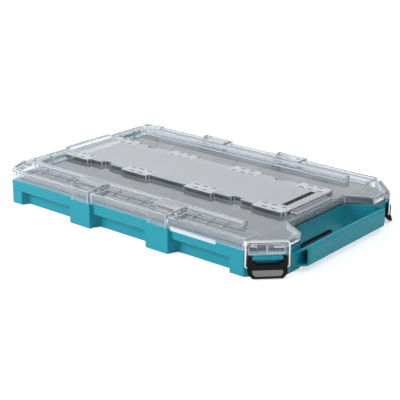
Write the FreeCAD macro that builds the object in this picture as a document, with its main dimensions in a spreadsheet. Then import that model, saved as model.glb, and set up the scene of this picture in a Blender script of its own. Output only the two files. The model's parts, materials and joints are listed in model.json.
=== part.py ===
import FreeCAD, Part
import Sketcher
import math
import os

# Driving sizes in millimetres, grouped by the piece that they shape
SIZES = {
    # Whole box
    "overall_length": 530.0,
    "body_length": 480.0,
    "body_width": 345.0,
    "base_height": 38.5,
    "wall": 2.6,
    "running_gap": 0.3,
    "pin_gap": 0.05,
    "overrun": 5.0,
    "corner_round": 5.0,
    # Pillars and pockets along the long sides
    "pillar_pitch": 156.4,
    "pillar_width": 43.2,
    "pillar_proud": 5.7,
    "corner_pillar": 24.0,
    "pocket_depth": 11.5,
    "pocket_height": 22.8,
    "pocket_flare": 5.0,
    # Floor, raised to make room for the stack lock under it
    "floor_raise": 8.0,
    "end_depth": 10.0,
    "tray_round": 6.0,
    # Chamfered corners, hand opening and grip bar
    "chamfer_run": 41.0,
    "notch_depth": 38.6,
    "notch_half": 74.0,
    "mouth_half": 97.0,
    "grip_depth": 18.0,
    "grip_bottom": 8.3,
    "grip_top": 36.8,
    "grip_half": 98.6,
    "grip_root_half": 120.0,
    "grip_wall": 3.0,
    "grip_round": 4.0,
    "grip_hole_round": 3.0,
    # Lid levels above the ground
    "lid_deck": 53.0,
    "lid_shelf": 55.5,
    "panel_top": 60.0,
    "rail_top": 62.5,
    "tongue_top": 65.7,
    "tongue_front_top": 59.0,
    "lid_wall": 2.5,
    # Lid rails, lip, tongues and corner blocks
    "rail_inner": 126.0,
    "rail_width": 11.0,
    "rail_end_gap": 70.0,
    "lip_depth": 10.0,
    "tongue_crest": 157.7,
    "tongue_front_width": 36.0,
    "tongue_crest_width": 56.0,
    "tongue_back_width": 50.0,
    "corner_block_inset": 3.0,
    "corner_block_length": 27.0,
    "corner_block_crest": 147.0,
    "corner_block_top": 65.0,
    # Raised centre panel with its blocks, edge notches and end step
    "panel_half": 65.5,
    "panel_shift": 5.0,
    "panel_left_gap": 11.0,
    "panel_right_gap": 14.0,
    "block_length": 54.0,
    "block_proud": 7.0,
    "block_inner_offset": 65.5,
    "block_outer_offset": 194.5,
    "edge_notch_offset": 133.0,
    "edge_notch_width": 17.0,
    "edge_notch_depth": 8.0,
    "step_half": 46.0,
    "step_top": 56.0,
    "step_edge_gap": 3.0,
    # Small features of the lid: slots, ribs, lips and a bump
    "slot_length": 11.0,
    "slot_width": 3.0,
    "slot_depth": 1.4,
    "slot_pitch": 17.0,
    "slot_row": 46.0,
    "slot_outer_row": 60.0,
    "lip_bump_half": 50.0,
    "skirt_lip_length": 83.0,
    "skirt_lip_bottom": 36.0,
    "skirt_lip_top": 41.5,
    "skirt_lip_proud": 1.8,
    "end_rib_width": 1.4,
    "end_rib_proud": 1.2,
    "end_rib_pitch": 12.0,
    "end_rib_top": 50.0,
    "shelf_rib_width": 1.6,
    "shelf_rib_height": 2.0,
    "shelf_rib_reach": 20.0,
    # Seal between the rim and the lid
    "seal_inset": 0.2,
    "seal_width": 1.4,
    "seal_height": 2.4,
    "seal_rib_lip": 1.6,
    # Lid hinge at the end away from the grip
    "hinge_inset": 3.5,
    "hinge_height": 43.0,
    "hinge_radius": 3.3,
    "hinge_pin_radius": 1.5,
    "hinge_spacing": 200.0,
    "hinge_ear_length": 24.0,
    "hinge_knuckle_length": 10.0,
    "hinge_web": 4.0,
    "hinge_end_gap": 0.5,
    # Latch lever, its lugs on the base and its grip pad
    "latch_along": 32.0,
    "lever_width": 54.5,
    "lever_arm": 6.2,
    "lever_pivot_out": 5.0,
    "lever_pivot_height": 29.0,
    "lever_arm_radius": 3.0,
    "lever_inner": 1.2,
    "lever_bar_top": 20.0,
    "lever_bar_bottom": 14.0,
    "lever_lip_out": 12.5,
    "lever_lip_top": 4.5,
    "lever_lip_back": 8.5,
    "lever_bottom": 1.5,
    "lever_back_bottom": 9.0,
    "lever_step_width": 5.0,
    "lever_step_height": 3.5,
    "lever_corner": 6.5,
    "pad_corner": 3.5,
    "lug_width": 5.0,
    "latch_pin_radius": 1.5,
    "pad_thickness": 1.2,
    "pad_width": 42.0,
    # Latch bail and the lid's catch
    "bail_wire_radius": 1.5,
    "bail_half": 29.75,
    "bail_out": 4.1,
    "bail_pivot_height": 16.0,
    "bail_bend": 4.5,
    "bail_tail_bend": 2.0,
    "bail_tail": 6.5,
    "catch_width": 53.0,
    "catch_bottom": 34.0,
    "catch_top": 50.4,
    "catch_out": 6.5,
    "catch_gap": 0.5,
    "catch_frame": 2.0,
    "catch_back": 2.4,
    "catch_round": 5.0,
    # Stack lock under the floor, with its strike in the lid
    "slider_half": 39.0,
    "slider_shoulder": 3.0,
    "slider_bottom": 2.5,
    "slider_top": 7.2,
    "slider_nose": 3.4,
    "slider_length": 26.0,
    "spring_length": 10.0,
    "spring_radius": 2.1,
    "spring_wire": 0.6,
    "spring_offset": 22.0,
    "housing_side": 8.0,
    "housing_back": 3.0,
    "cover_thickness": 1.6,
    "screw_radius": 1.3,
    "screw_length": 5.0,
    "screw_head_radius": 2.4,
    "screw_head_height": 0.5,
    "screw_edge": 6.0,
    "strike_half": 37.5,
    "strike_width": 9.0,
    "strike_edge_gap": 14.0,
    "strike_thickness": 1.6,
    # Bins
    "bin_gap": 0.8,
    "bin_end_gap": 1.5,
    "bin_top": 47.0,
    "bin_wall": 1.6,
    "bin_draft": 2.5,
    "bin_round": 7.0,
}
BIN_COLUMNS = 5
END_RIB_PAIRS = 5
SHELF_RIBS = 3
INNER_SLOT_STEPS = (-1, 0, 1)
OUTER_SLOT_STEPS = (-0.5, 0.5)
PAD_SHARES = (0.12, 0.9)
EDGE_MATCH = 1e-4
ROOT_TWO = math.sqrt(2)
ROOT_HALF = math.sqrt(0.5)
FRONT = -1
REAR = 1
SIDE_NAMES = {FRONT: "front", REAR: "rear"}
LATCH_TURN = {FRONT: 45, REAR: 135}
UPRIGHT = FreeCAD.Rotation()
ALONG_X = FreeCAD.Rotation(FreeCAD.Vector(0, 1, 0), 90)
ALONG_Y = FreeCAD.Rotation(FreeCAD.Vector(1, 0, 0), -90)

doc = FreeCAD.newDocument("storage_box")
sheet = doc.addObject("Spreadsheet::Sheet", "sizes")
parts = []


class Size:
    """A length as a number, together with the sheet expression that gives it."""

    def __init__(self, value, text):
        self.value = value
        self.text = text

    def __add__(self, other):
        other = as_size(other)
        return Size(self.value + other.value, f"({self.text} + {other.text})")

    def __sub__(self, other):
        other = as_size(other)
        return Size(self.value - other.value, f"({self.text} - {other.text})")

    def __mul__(self, factor):
        return Size(self.value * factor, f"({self.text} * {factor})")

    def __truediv__(self, factor):
        return Size(self.value / factor, f"({self.text} / {factor})")

    def __neg__(self):
        return Size(-self.value, f"(0 - {self.text})")


def as_size(number):
    if isinstance(number, Size):
        return number
    return Size(number, str(number))


class Dimensions:
    """Every named size of the sheet, as an attribute."""


def fill_sheet():
    named = Dimensions()
    for row, (name, value) in enumerate(SIZES.items(), start=1):
        sheet.set(f"A{row}", name)
        sheet.set(f"B{row}", str(value))
        sheet.setAlias(f"B{row}", name)
        setattr(named, name, Size(value, f"sizes.{name}"))
    doc.recompute()
    return named


dim = fill_sheet()
ZERO = as_size(0)

# Places that several pieces share
left_end = -dim.overall_length / 2
grip_face = dim.overall_length / 2
wing_end = grip_face - dim.grip_depth
chamfer_x = wing_end - dim.chamfer_run
notch_x = wing_end - dim.notch_depth
side = dim.body_width / 2
wing_side = side - dim.chamfer_run
tray_side = side - dim.pocket_depth
tray_left = left_end + dim.end_depth
inside_side = tray_side - dim.wall
inside_left = tray_left + dim.wall
inside_right = notch_x - dim.wall
pillar_side = side + dim.pillar_proud
pattern_x = left_end + dim.body_length / 2
pillar_xs = [pattern_x - dim.pillar_pitch / 2, pattern_x + dim.pillar_pitch / 2]
panel_x = pattern_x - dim.panel_shift
block_offsets = [
    -dim.block_outer_offset,
    -dim.block_inner_offset,
    dim.block_inner_offset,
    dim.block_outer_offset,
]
rim = dim.base_height
floor_top = dim.floor_raise + dim.wall
lid_bottom = rim + dim.running_gap
rail_outer = dim.rail_inner + dim.rail_width
hinge_x = left_end + dim.hinge_inset
hinge_ys = {FRONT: -dim.hinge_spacing / 2, REAR: dim.hinge_spacing / 2}
latch_x = chamfer_x + dim.latch_along * ROOT_HALF
latch_y = side - dim.latch_along * ROOT_HALF
slider_front = notch_x + dim.slider_nose
slider_back = slider_front - dim.slider_length
housing_front = slider_back - dim.spring_length
housing_half = dim.slider_half + dim.slider_shoulder + dim.running_gap
cover_top = dim.slider_bottom - dim.running_gap
cover_bottom = cover_top - dim.cover_thickness


def bind(item, path, size):
    item.setExpression(path, as_size(size).text)


def new_body(node):
    body = doc.addObject("PartDesign::Body", node)
    body.Label = node
    parts.append(body)
    return body


def new_feature(body, kind):
    """A solid feature; faces are merged once, on the last feature of a body."""
    feature = body.newObject(f"PartDesign::{kind}", kind.lower())
    feature.Refine = False
    return feature


def merge_faces(body):
    body.Tip.Refine = True


def origin_plane(body, role):
    return next(plane for plane in body.Origin.OriginFeatures if plane.Role == role)


def new_sketch(body, role, lift=ZERO):
    """A sketch on one of the body's own planes, moved along that plane's normal."""
    sketch = body.newObject("Sketcher::SketchObject", "sketch")
    sketch.AttachmentSupport = [(origin_plane(body, role), "")]
    sketch.MapMode = "FlatFace"
    bind(sketch, "AttachmentOffset.Base.z", lift)
    return sketch


def pins(geometry, position, x, y):
    """The two constraints that hold a point at its place, each with its size."""
    return [
        (Sketcher.Constraint(kind, -1, 1, geometry, position, as_size(size).value), size)
        for kind, size in (("DistanceX", x), ("DistanceY", y))
    ]


def constrain(sketch, pairs):
    indices = sketch.addConstraint([constraint for constraint, size in pairs])
    for index, (constraint, size) in zip(indices, pairs):
        if size is not None:
            bind(sketch, f"Constraints[{index}]", size)


def flat_vector(x, y):
    return FreeCAD.Vector(as_size(x).value, as_size(y).value, 0)


def joint(geometry, follower):
    return Sketcher.Constraint("Coincident", geometry, 2, follower, 1), None


def add_polygon(sketch, points):
    first = sketch.GeometryCount
    corners = [flat_vector(x, y) for x, y in points]
    followers = corners[1:] + corners[:1]
    sketch.addGeometry([Part.LineSegment(a, b) for a, b in zip(corners, followers)], False)
    pairs = []
    for index, (x, y) in enumerate(points):
        pairs.append(joint(first + index, first + (index + 1) % len(points)))
        pairs += pins(first + index, 1, x, y)
    constrain(sketch, pairs)


def add_tangent_arc(sketch, before, middle, after):
    """An arc from the end of one line to the start of another, tangent to the first."""
    start = sketch.getPoint(before, 2)
    end = sketch.getPoint(after, 1)
    arc = sketch.addGeometry(Part.Arc(start, flat_vector(*middle), end), False)
    first = 1 if sketch.getPoint(arc, 1).isEqual(start, EDGE_MATCH) else 2
    sketch.addConstraint(Sketcher.Constraint("Tangent", before, 2, arc, first))
    sketch.addConstraint(Sketcher.Constraint("Coincident", arc, 3 - first, after, 1))


def add_path(sketch, runs, middles):
    """Straight runs, joined by arcs through middle points, or end to end where that is None."""
    lines = []
    for start, end in runs:
        line = Part.LineSegment(flat_vector(*start), flat_vector(*end))
        lines.append(sketch.addGeometry(line, False))
        constrain(sketch, pins(lines[-1], 1, *start))
    for index, middle in enumerate(middles):
        before = lines[index]
        after = lines[(index + 1) % len(lines)]
        if middle is None:
            constrain(sketch, [joint(before, after)])
        else:
            constrain(sketch, pins(before, 2, *runs[index][1]))
            add_tangent_arc(sketch, before, middle, after)
    if len(middles) < len(runs):
        constrain(sketch, pins(lines[-1], 2, *runs[-1][1]))


def rectangle(x_low, x_high, y_low, y_high):
    return [(x_low, y_low), (x_high, y_low), (x_high, y_high), (x_low, y_high)]


def mirrored(outline):
    return [(x, -y) for x, y in reversed(outline)]


def both_sides(outlines):
    return outlines + [mirrored(outline) for outline in outlines]


def closed_by_mirror(front_half):
    return front_half + mirrored(front_half)


def add_prism(body, outlines, bottom, top):
    """Material between two heights, over one or more outlines in plan."""
    sketch = new_sketch(body, "XY_Plane", bottom)
    for outline in outlines:
        add_polygon(sketch, outline)
    pad = new_feature(body, "Pad")
    pad.Profile = sketch
    bind(pad, "Length", top - bottom)


def cut_prism(body, outlines, bottom, top):
    """A cut from one height up to another, over one or more outlines in plan."""
    sketch = new_sketch(body, "XY_Plane", bottom)
    for outline in outlines:
        add_polygon(sketch, outline)
    pocket = new_feature(body, "Pocket")
    pocket.Profile = sketch
    pocket.Reversed = True
    bind(pocket, "Length", top - bottom)


def extrude_across(body, kind, role, outline, length):
    """A profile in an upright plane, padded or pocketed evenly to both sides of it."""
    sketch = new_sketch(body, role)
    add_polygon(sketch, outline)
    feature = new_feature(body, kind)
    feature.Profile = sketch
    feature.SideType = "Symmetric"
    bind(feature, "Length", length)


def place(item, point, rotation):
    x, y, z = (as_size(size) for size in point)
    item.Placement = FreeCAD.Placement(FreeCAD.Vector(x.value, y.value, z.value), rotation)
    bind(item, "Placement.Base.x", x)
    bind(item, "Placement.Base.y", y)
    bind(item, "Placement.Base.z", z)


def add_cylinder(body, kind, start, rotation, radius, height):
    feature = new_feature(body, f"{kind}Cylinder")
    bind(feature, "Radius", radius)
    bind(feature, "Height", height)
    place(feature, start, rotation)


def add_box(body, kind, corner, lengths, rotation=UPRIGHT):
    feature = new_feature(body, f"{kind}Box")
    for name, length in zip(("Length", "Width", "Height"), lengths):
        bind(feature, name, length)
    place(feature, corner, rotation)


def add_loft(body, kind, face, sections):
    """A ruled loft through upright rectangles (distance out, x low, x high, z low, z high)."""
    sketches = []
    for out, x_low, x_high, z_low, z_high in sections:
        sketch = new_sketch(body, "XZ_Plane", out * -face)
        add_polygon(sketch, rectangle(x_low, x_high, z_low, z_high))
        sketches.append(sketch)
    loft = new_feature(body, f"{kind}Loft")
    loft.Profile = sketches[0]
    loft.Sections = sketches[1:]
    loft.Ruled = True


def edge_lies(edge, x=None, y=None, z=None):
    """Whether an edge lies wholly at the given coordinates."""
    box = edge.BoundBox
    spans = ((box.XMin, box.XMax, x), (box.YMin, box.YMax, y), (box.ZMin, box.ZMax, z))
    return all(
        size is None or max(abs(low - size.value), abs(high - size.value)) < EDGE_MATCH
        for low, high, size in spans
    )


def round_edges(body, radius, wanted):
    doc.recompute()
    base = body.Tip
    names = [f"Edge{n}" for n, edge in enumerate(base.Shape.Edges, start=1) if wanted(edge)]
    fillet = new_feature(body, "Fillet")
    fillet.Base = (base, names)
    bind(fillet, "Radius", radius)


def latch_point(face, along, out, z):
    """A point given along and out from a chamfer's latch, in the frame of the whole box."""
    turn = math.radians(LATCH_TURN[face])
    x = latch_x + along * math.cos(turn) + out * math.sin(turn)
    y = latch_y * face + along * math.sin(turn) - out * math.cos(turn)
    return x, y, z


def runs_out_of_latch(edge, face, along, z):
    """Whether an edge runs straight out of a chamfer, at one height and place along it."""
    turn = math.radians(LATCH_TURN[face])
    misses = []
    for vertex in edge.Vertexes:
        x = vertex.X - latch_x.value
        y = vertex.Y - latch_y.value * face
        misses.append(abs(x * math.cos(turn) + y * math.sin(turn) - along.value))
        misses.append(abs(vertex.Z - z.value))
    return max(misses) < EDGE_MATCH


def latch_rotation(face):
    return FreeCAD.Rotation(FreeCAD.Vector(0, 0, 1), LATCH_TURN[face])


def outer_plan():
    """Outline of base and lid in plan, with chamfered corners and the hand opening."""
    return closed_by_mirror([
        (left_end, -side),
        (chamfer_x, -side),
        (wing_end, -wing_side),
        (wing_end, -dim.mouth_half),
        (notch_x, -dim.notch_half),
    ])


def inner_plan(inset):
    """Outline that runs inside the tray's outer faces, at one inset all the way round."""
    return closed_by_mirror([
        (tray_left + inset, inset - tray_side),
        (chamfer_x + dim.pocket_depth + inset - inset * ROOT_TWO, inset - tray_side),
        (wing_end - inset, inset * ROOT_TWO - inset - wing_side),
        (wing_end - inset, -dim.mouth_half - inset / 2),
        (notch_x - inset, -dim.notch_half - inset / 2),
    ])


def pocket_spans():
    """Ends of the three pockets of a long side."""
    half = dim.pillar_width / 2
    return [
        (left_end + dim.corner_pillar, pillar_xs[0] - half),
        (pillar_xs[0] + half, pillar_xs[1] - half),
        (pillar_xs[1] + half, chamfer_x - dim.corner_pillar),
    ]


def round_left_corners(body):
    for face in (FRONT, REAR):
        round_edges(body, dim.corner_round, lambda edge: edge_lies(edge, x=left_end, y=side * face))


def add_grip(body):
    """Hollow grip bar between the two wings, open at its slanted ends."""
    bar = closed_by_mirror([(wing_end, -dim.grip_root_half), (grip_face, -dim.grip_half)])
    add_prism(body, [bar], dim.grip_bottom, dim.grip_top)
    for level in (dim.grip_bottom, dim.grip_top):
        round_edges(body, dim.grip_round, lambda edge: edge_lies(edge, x=grip_face, z=level))
    x_low = wing_end + dim.grip_wall
    x_high = grip_face - dim.grip_wall
    z_low = dim.grip_bottom + dim.grip_wall
    z_high = dim.grip_top - dim.grip_wall
    hole = rectangle(x_low, x_high, z_low, z_high)
    extrude_across(body, "Pocket", "XZ_Plane", hole, dim.grip_root_half * 2 + dim.overrun)
    corners = [(x, z) for x in (x_low, x_high) for z in (z_low, z_high)]
    round_edges(
        body,
        dim.grip_hole_round,
        lambda edge: any(edge_lies(edge, x=x, z=z) for x, z in corners),
    )


def add_latch_lugs(body, face):
    """Two lugs on a chamfer that hold the lever's pin."""
    high = dim.lever_width / 2 - dim.lever_arm - dim.running_gap * 2
    low = high - dim.lug_width
    turn = latch_rotation(face)
    bottom = dim.lever_pivot_height - dim.lever_arm_radius
    sizes = (dim.lug_width, dim.lever_pivot_out + dim.wall / 2, dim.lever_arm_radius * 2)
    for start in (low, -high):
        add_box(body, "Additive", latch_point(face, start, dim.lever_pivot_out, bottom), sizes, turn)
        nose = latch_point(face, start, dim.lever_pivot_out, dim.lever_pivot_height)
        add_cylinder(body, "Additive", nose, turn * ALONG_X, dim.lever_arm_radius, dim.lug_width)
    bore_start = latch_point(face, -dim.lever_width / 2, dim.lever_pivot_out, dim.lever_pivot_height)
    bore_radius = dim.latch_pin_radius + dim.pin_gap
    add_cylinder(body, "Subtractive", bore_start, turn * ALONG_X, bore_radius, dim.lever_width)


def add_hinge_ear(body, face):
    """One ear on the rim, at the middle of a hinge."""
    y_low = hinge_ys[face] - dim.hinge_ear_length / 2
    axis = (hinge_x, y_low, dim.hinge_height)
    foot = (hinge_x - dim.hinge_web / 2, y_low, rim - dim.wall / 2)
    web = (dim.hinge_web, dim.hinge_ear_length, dim.hinge_height - rim + dim.wall / 2)
    add_box(body, "Additive", foot, web)
    add_cylinder(body, "Additive", axis, ALONG_Y, dim.hinge_radius, dim.hinge_ear_length)
    bore_radius = dim.hinge_pin_radius + dim.pin_gap
    add_cylinder(body, "Subtractive", axis, ALONG_Y, bore_radius, dim.hinge_ear_length)


def screw_places():
    """Axes of the screws that hold the stack lock's cover."""
    y = housing_half + dim.housing_side / 2
    xs = (housing_front + dim.screw_edge, inside_right - dim.screw_edge)
    return [(x, y * face) for x in xs for face in (FRONT, REAR)]


def add_lock_housing(body):
    """Frame under the floor round the slider, and the slot for the slider's nose."""
    outer_half = housing_half + dim.housing_side
    back = housing_front - dim.housing_back
    frame = [
        (back, -outer_half),
        (inside_right, -outer_half),
        (inside_right, -housing_half),
        (housing_front, -housing_half),
    ]
    add_prism(body, [closed_by_mirror(frame)], cover_top, dim.floor_raise)
    slot_half = dim.slider_half + dim.running_gap
    slot = rectangle(inside_right - dim.running_gap, notch_x + dim.overrun, -slot_half, slot_half)
    cut_prism(body, [slot], cover_top, dim.slider_top + dim.running_gap)
    for x, y in screw_places():
        start = (x, y, cover_top)
        depth = dim.screw_length - dim.cover_thickness + dim.running_gap
        add_cylinder(body, "Subtractive", start, UPRIGHT, dim.screw_radius + dim.pin_gap, depth)


def make_base_tray():
    body = new_body("base_tray")
    add_prism(body, [outer_plan()], ZERO, rim)
    round_left_corners(body)
    add_grip(body)
    for face in (FRONT, REAR):
        add_latch_lugs(body, face)
        add_hinge_ear(body, face)
    half = dim.pillar_width / 2
    pillars = [rectangle(x - half, x + half, -pillar_side, -tray_side) for x in pillar_xs]
    add_prism(body, both_sides(pillars), ZERO, rim)
    pockets = []
    hollows = []
    for x_low, x_high in pocket_spans():
        pockets.append([
            (x_low, -side - dim.overrun),
            (x_high, -side - dim.overrun),
            (x_high, -side),
            (x_high - dim.pocket_flare, -tray_side),
            (x_low + dim.pocket_flare, -tray_side),
            (x_low, -side),
        ])
        margin = dim.pocket_flare + dim.wall
        hollows.append(rectangle(x_low + margin, x_high - margin, dim.wall - side, -tray_side))
    cut_prism(body, both_sides(pockets), ZERO, dim.pocket_height)
    for x in pillar_xs:
        hollow_half = half - dim.wall
        hollows.append(rectangle(x - hollow_half, x + hollow_half, dim.wall - pillar_side, -tray_side))
    corner_end = left_end + dim.corner_pillar - dim.wall
    hollows.append(rectangle(left_end + dim.wall, corner_end, dim.wall - side, -tray_side))
    corner_start = chamfer_x - dim.corner_pillar + dim.wall
    hollows.append(rectangle(corner_start, chamfer_x - dim.wall, dim.wall - side, -tray_side))
    end_hollow = rectangle(left_end + dim.wall, tray_left, -inside_side, inside_side)
    cut_prism(body, both_sides(hollows) + [end_hollow], ZERO, rim - dim.wall)
    cut_prism(body, [inner_plan(dim.wall)], ZERO, dim.floor_raise)
    cut_prism(body, [inner_plan(dim.wall)], floor_top, rim)
    for face in (FRONT, REAR):
        round_edges(
            body,
            dim.tray_round,
            lambda edge: edge_lies(edge, x=inside_left, y=inside_side * face)
            and edge.BoundBox.ZMax > floor_top.value,
        )
    add_lock_housing(body)
    merge_faces(body)


def panel_outline(inset):
    """Centre panel in plan: blocks stand out of its long edges, notches cut into them."""
    web_half = dim.panel_half - dim.block_proud
    notch_half = web_half - dim.edge_notch_depth
    block = (dim.block_length / 2 - inset, dim.panel_half - inset)
    notch = (dim.edge_notch_width / 2 + inset, notch_half - inset)
    features = [(offset, block) for offset in block_offsets]
    features.insert(1, (-dim.edge_notch_offset, notch))
    features.insert(-1, (dim.edge_notch_offset, notch))
    web_y = inset - web_half
    edge = [(left_end + dim.panel_left_gap + inset, web_y)]
    for offset, (half_length, half_width) in features:
        x_low = panel_x + offset - half_length
        x_high = panel_x + offset + half_length
        edge += [(x_low, web_y), (x_low, -half_width), (x_high, -half_width), (x_high, web_y)]
    edge.append((notch_x - dim.panel_right_gap - inset, web_y))
    return closed_by_mirror(edge)


def add_tongues(body):
    """Tongues over the pillars, sloped up from the front to a crest."""
    for face in (FRONT, REAR):
        for x in pillar_xs:
            stations = [
                (pillar_side, dim.tongue_front_width, dim.tongue_front_top),
                (dim.tongue_crest, dim.tongue_crest_width, dim.tongue_top),
                (rail_outer, dim.tongue_back_width, dim.rail_top),
            ]
            sections = [
                (out, x - width / 2, x + width / 2, lid_bottom, top)
                for out, width, top in stations
            ]
            add_loft(body, "Additive", face, sections)


def add_corner_blocks(body):
    """Sloped blocks on the two lid corners at the hinge end."""
    x_low = left_end + dim.corner_block_inset
    x_high = left_end + dim.corner_block_length
    for face in (FRONT, REAR):
        stations = [
            (side - dim.corner_block_inset, dim.tongue_front_top),
            (dim.corner_block_crest, dim.corner_block_top),
            (rail_outer, dim.rail_top),
        ]
        sections = [(out, x_low, x_high, dim.lid_deck - dim.lid_wall, top) for out, top in stations]
        add_loft(body, "Additive", face, sections)


def add_skirt_lips(body):
    """Lips that hang over the rim beside the latches."""
    x_low = pillar_xs[1] + dim.pillar_width / 2 + dim.running_gap * 2
    x_high = x_low + dim.skirt_lip_length
    outer = side + dim.skirt_lip_proud
    lip = rectangle(x_low, x_high, -outer, -side - dim.running_gap)
    root = rectangle(x_low, x_high, -outer, dim.lid_wall / 2 - side)
    add_prism(body, both_sides([lip]), dim.skirt_lip_bottom, dim.skirt_lip_top)
    add_prism(body, both_sides([root]), lid_bottom, dim.skirt_lip_top)


def add_end_ribs(body):
    """Upright ribs on the wall of the hand opening."""
    ribs = []
    for step in range(-END_RIB_PAIRS, END_RIB_PAIRS + 1):
        y_low = dim.end_rib_pitch * step - dim.end_rib_width / 2
        x_low = notch_x - dim.lid_wall / 2
        ribs.append(rectangle(x_low, notch_x + dim.end_rib_proud, y_low, y_low + dim.end_rib_width))
    add_prism(body, ribs, lid_bottom, dim.end_rib_top)


def add_shelf_ribs(body):
    """Low cross ribs on the shelves between the tongues."""
    half = dim.shelf_rib_width / 2
    y_low = -rail_outer - dim.shelf_rib_reach
    bottom = dim.lid_shelf - dim.lid_wall / 2
    for x_low, x_high in pocket_spans():
        ribs = []
        for step in range(1, SHELF_RIBS + 1):
            x = x_low + (x_high - x_low) * step / (SHELF_RIBS + 1)
            ribs.append(rectangle(x - half, x + half, y_low, dim.lid_wall / 2 - rail_outer))
        add_prism(body, both_sides(ribs), bottom, dim.lid_shelf + dim.shelf_rib_height)


def cut_panel_slots(body):
    """Short blind slots in two rows in the top of each block of the panel."""
    half_length = dim.slot_length / 2
    half_width = dim.slot_width / 2
    rows = ((INNER_SLOT_STEPS, dim.slot_row), (OUTER_SLOT_STEPS, dim.slot_outer_row))
    for offset in block_offsets:
        slots = []
        for steps, row in rows:
            for step in steps:
                x = panel_x + offset + dim.slot_pitch * step
                ends = (x - half_length, x + half_length)
                slots.append(rectangle(*ends, -row - half_width, half_width - row))
        bottom = dim.panel_top - dim.slot_depth
        cut_prism(body, both_sides(slots), bottom, dim.panel_top + dim.overrun)


def hollow_lid(body):
    """Cuts from below that leave a shell of even wall, and a rib that carries the seal."""
    skin = dim.lid_wall
    cavity_inset = dim.wall - dim.seal_inset
    cut_prism(body, [inner_plan(cavity_inset)], lid_bottom, dim.lid_deck - skin)
    cavity_side = tray_side - cavity_inset
    rib_side = tray_side - cavity_inset + dim.seal_width + dim.seal_rib_lip
    rib_left = tray_left + cavity_inset - dim.seal_width - dim.seal_rib_lip
    gutter = rectangle(left_end + skin, chamfer_x - skin, skin - side, -rib_side)
    shelf = rectangle(inside_left, chamfer_x - skin, -cavity_side, -rail_outer - skin)
    cut_prism(body, both_sides([gutter, shelf]), lid_bottom, dim.lid_shelf - skin)
    end_gutter = rectangle(left_end + skin, rib_left, -cavity_side, cavity_side)
    cut_prism(body, [end_gutter], lid_bottom, dim.lid_deck - skin)
    rail_right = wing_end - dim.rail_end_gap
    rail_low = skin - rail_outer
    rail = rectangle(inside_left, rail_right - skin, rail_low, -dim.rail_inner - skin)
    lip = rectangle(left_end + skin, left_end + dim.lip_depth - skin, rail_low, -rail_low)
    cut_prism(body, both_sides([rail]) + [lip], lid_bottom, dim.rail_top - skin)
    cut_prism(body, [panel_outline(skin)], lid_bottom, dim.panel_top - skin)
    fronts = []
    backs = []
    for x in pillar_xs:
        front_half = dim.tongue_front_width / 2 - skin
        back_half = dim.tongue_back_width / 2 - skin
        fronts.append(rectangle(x - front_half, x + front_half, skin - pillar_side, -rib_side))
        backs.append(rectangle(x - back_half, x + back_half, -cavity_side, -rail_outer - skin))
    cut_prism(body, both_sides(fronts), lid_bottom, dim.tongue_front_top - skin)
    cut_prism(body, both_sides(backs), lid_bottom, dim.rail_top - skin)


def add_lid_hinges(body):
    """Relief along the hinged edge, then windows for the ears and the lid's own knuckles."""
    relief = rectangle(left_end - dim.overrun, hinge_x, -pillar_side, pillar_side)
    cut_prism(body, [relief], lid_bottom - dim.overrun, dim.hinge_height + dim.running_gap)
    window_half = dim.hinge_ear_length / 2 + dim.hinge_end_gap
    window_top = dim.hinge_height + dim.hinge_radius + dim.hinge_end_gap * 2
    windows = [
        rectangle(left_end - dim.overrun, hinge_x, y - window_half, y + window_half)
        for y in hinge_ys.values()
    ]
    cut_prism(body, windows, lid_bottom - dim.overrun, window_top)
    bore_radius = dim.hinge_pin_radius + dim.pin_gap
    for y in hinge_ys.values():
        for start in (y + window_half, y - window_half - dim.hinge_knuckle_length):
            add_knuckle(body, start)
            axis = (hinge_x, start, dim.hinge_height)
            add_cylinder(body, "Subtractive", axis, ALONG_Y, bore_radius, dim.hinge_knuckle_length)


def add_knuckle(body, start):
    """One knuckle under the lid's lip, round at its lower end."""
    x_low = hinge_x - dim.hinge_radius
    x_high = hinge_x + dim.hinge_radius
    top = dim.rail_top - dim.lid_wall / 2
    runs = [
        ((x_low, top), (x_high, top)),
        ((x_high, top), (x_high, dim.hinge_height)),
        ((x_low, dim.hinge_height), (x_low, top)),
    ]
    bottom = (hinge_x, dim.hinge_height - dim.hinge_radius)
    sketch = new_sketch(body, "XZ_Plane", -start - dim.hinge_knuckle_length)
    add_path(sketch, runs, [None, bottom, None])
    pad = new_feature(body, "Pad")
    pad.Profile = sketch
    bind(pad, "Length", dim.hinge_knuckle_length)


def add_catch(body, face):
    """Catch on a chamfer: its top is the ledge for the bail, its face has two recesses."""
    turn = latch_rotation(face)
    half = dim.catch_width / 2
    skirt = (dim.catch_width, dim.catch_out + dim.lid_wall / 2, dim.catch_top - lid_bottom)
    add_box(body, "Additive", latch_point(face, -half, dim.catch_out, lid_bottom), skirt, turn)
    for end in (-half, half):
        round_edges(
            body, dim.catch_round, lambda edge: runs_out_of_latch(edge, face, end, dim.catch_top)
        )
    apron_depth = dim.catch_out - dim.catch_gap
    apron = (dim.catch_width, apron_depth, lid_bottom + dim.catch_frame - dim.catch_bottom)
    add_box(body, "Additive", latch_point(face, -half, dim.catch_out, dim.catch_bottom), apron, turn)
    recess_width = (dim.catch_width - dim.catch_frame * 3) / 2
    recess_depth = dim.catch_out - dim.catch_gap - dim.catch_back
    recess_height = dim.catch_top - dim.catch_bottom - dim.catch_frame * 2
    recess = (recess_width, recess_depth, recess_height)
    recess_bottom = dim.catch_bottom + dim.catch_frame
    for start in (dim.catch_frame - half, dim.catch_frame / 2):
        corner = latch_point(face, start, dim.catch_out, recess_bottom)
        add_box(body, "Subtractive", corner, recess, turn)


def strike_span():
    x_high = notch_x - dim.panel_right_gap - dim.strike_edge_gap
    return x_high - dim.strike_width, x_high


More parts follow.
